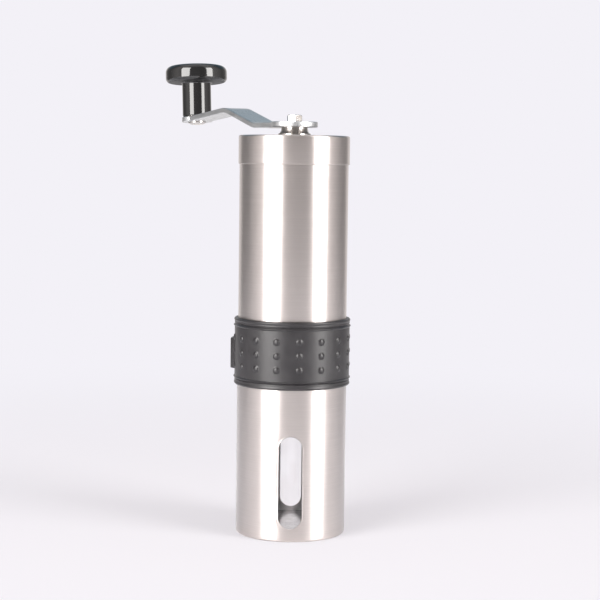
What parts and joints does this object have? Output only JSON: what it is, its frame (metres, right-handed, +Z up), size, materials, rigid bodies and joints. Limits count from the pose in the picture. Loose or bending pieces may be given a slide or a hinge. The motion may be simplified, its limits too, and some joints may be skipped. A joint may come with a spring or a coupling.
{
  "type": "hand crank coffee grinder",
  "caption": "Slim steel hand grinder: slip-on lid, bean tube with a rubber grip band, conical burrs, catch cup with clear window slots, and a bent crank arm with a turning knob.",
  "frame": {"origin": "on the tube's axis, in the plane of the cup's foot", "axes": "+Z up along the drive shaft; the window with the clear view faces -Y"},
  "size_m": [0.0919, 0.1497, 0.2132],
  "materials": {
    "brushed_steel": "brushed",
    "polished_steel": "polished",
    "clear_plastic": "clear",
    "grip_rubber": "satin",
    "black_gloss_plastic": "gloss",
    "nylon": "matte",
    "bush_plastic": "satin",
    "ceramic": "satin"
  },
  "bodies": {
    "cup": {"catch_cup": "brushed_steel", "cup_floor": "polished_steel", "window_pane_front": "clear_plastic", "window_pane_rear": "clear_plastic"},
    "tube": {"main_tube": "brushed_steel", "grip_band": "grip_rubber", "burr_housing": "nylon", "upper_bridge": "nylon", "lower_bush": "bush_plastic", "upper_bush": "bush_plastic", "burr_retainer": "nylon", "retainer_screws": "polished_steel", "ring_burr": "ceramic"},
    "lid": {"lid": "brushed_steel"},
    "shaft": {"drive_shaft": "polished_steel", "shaft_clip": "polished_steel", "thrust_washer": "polished_steel"},
    "cone": {"cone_burr": "ceramic", "click_plate": "polished_steel", "burr_spring": "polished_steel"},
    "nut": {"adjusting_nut": "nylon"},
    "crank": {"crank_arm": "brushed_steel", "crank_collar": "polished_steel", "knob_pin": "polished_steel", "knob_clip": "polished_steel", "knob_washer": "polished_steel"},
    "knob": {"knob": "black_gloss_plastic", "knob_cap": "black_gloss_plastic"}
  },
  "joints": [
    {"name": "cup_release", "type": "slide", "parent": "cup", "child": "tube", "axis": [0, 0, 1], "range_m": [0, 0.03]},
    {"name": "crank_turn", "type": "hinge", "parent": "tube", "child": "shaft", "pos_m": [0, 0, 0.12], "axis": [0, 0, 1], "continuous": true},
    {"name": "crank_lift", "type": "slide", "parent": "shaft", "child": "crank", "axis": [0, 0, 1], "range_m": [0, 0.03]},
    {"name": "knob_spin", "type": "hinge", "parent": "crank", "child": "knob", "pos_m": [-0.04987, 0.10694, 0.18663], "axis": [-0.0295, 0.0632, 0.9976], "continuous": true},
    {"name": "lid_lift", "type": "slide", "parent": "tube", "child": "lid", "axis": [0, 0, 1], "range_m": [0, 0.015]},
    {"name": "cone_travel", "type": "slide", "parent": "shaft", "child": "cone", "axis": [0, 0, -1], "range_m": [0, 0.0016], "deforming": ["burr_spring"]},
    {"name": "grind_set", "type": "hinge", "parent": "cone", "child": "nut", "pos_m": [0, 0, 0.047], "axis": [0, 0, -1], "range_deg": [0, 720]}
  ],
  "couplings": [
    {"joint": "lid_lift", "follows": "crank_lift", "ratio": 0.5},
    {"joint": "grind_set", "follows": "cone_travel", "rad_per_m": 7854}
  ]
}
